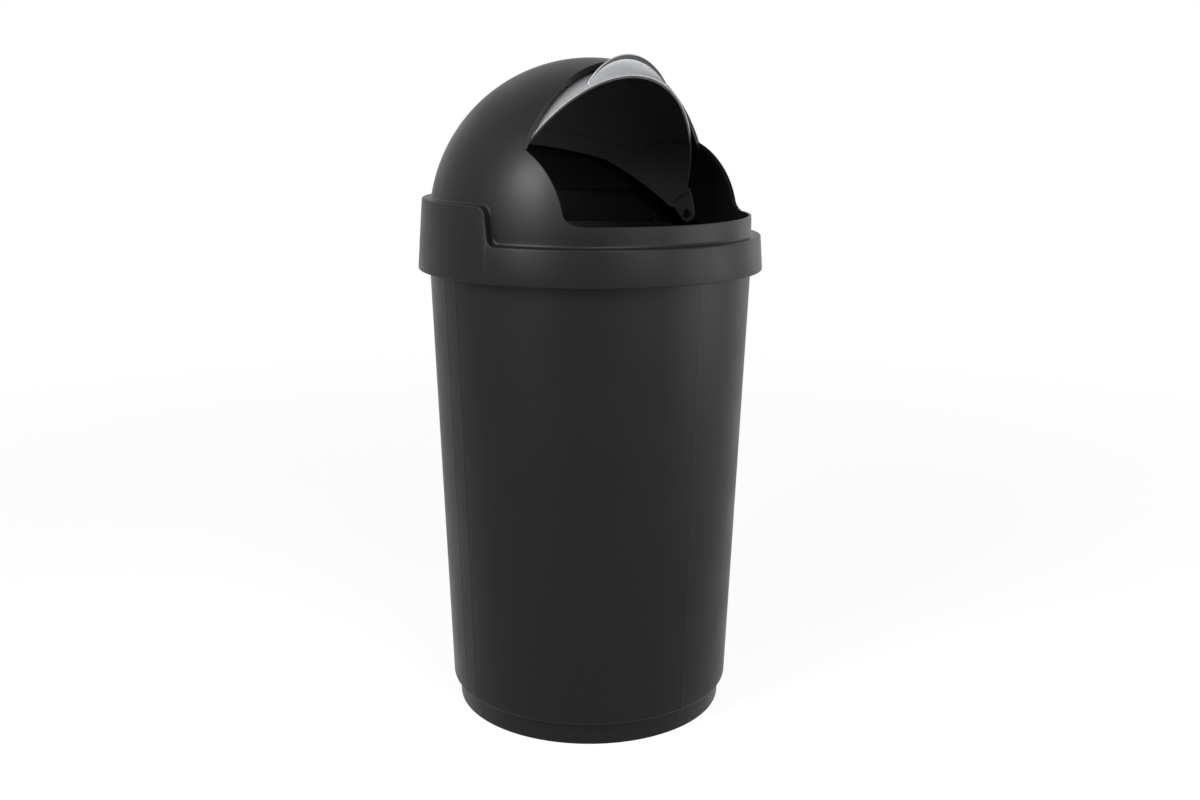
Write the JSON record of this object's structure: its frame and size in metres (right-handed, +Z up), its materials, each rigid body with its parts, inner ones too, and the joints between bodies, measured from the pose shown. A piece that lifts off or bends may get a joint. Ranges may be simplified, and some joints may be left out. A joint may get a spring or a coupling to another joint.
{
  "type": "dome top waste bin",
  "caption": "Round tapered waste bin with a lift-off domed lid and a swing flap that turns back inside the dome on side pivots.",
  "frame": {"origin": "on the floor under the middle of the bin", "axes": "+Z up, the opening and the flap face -Y, +X along the flap's pivot axis"},
  "size_m": [0.3898, 0.39, 0.7491],
  "materials": {
    "tub_black": "satin, fine moulded grain",
    "lid_black": "satin, fine moulded grain",
    "flap_black": "satin",
    "face_silver": "silver, smooth"
  },
  "bodies": {
    "tub": {"tub": "tub_black"},
    "lid": {"lid": "lid_black"},
    "flap": {"flap_shell": "flap_black", "flap_face": "face_silver"}
  },
  "joints": [
    {"name": "lid_lift", "type": "slide", "parent": "tub", "child": "lid", "axis": [0, 0, 1], "range_m": [0, 0.15]},
    {"name": "flap_swing", "type": "hinge", "parent": "lid", "child": "flap", "pos_m": [0, -0.0105, 0.5659], "axis": [1, 0, 0], "range_deg": [0, 68.4]}
  ]
}
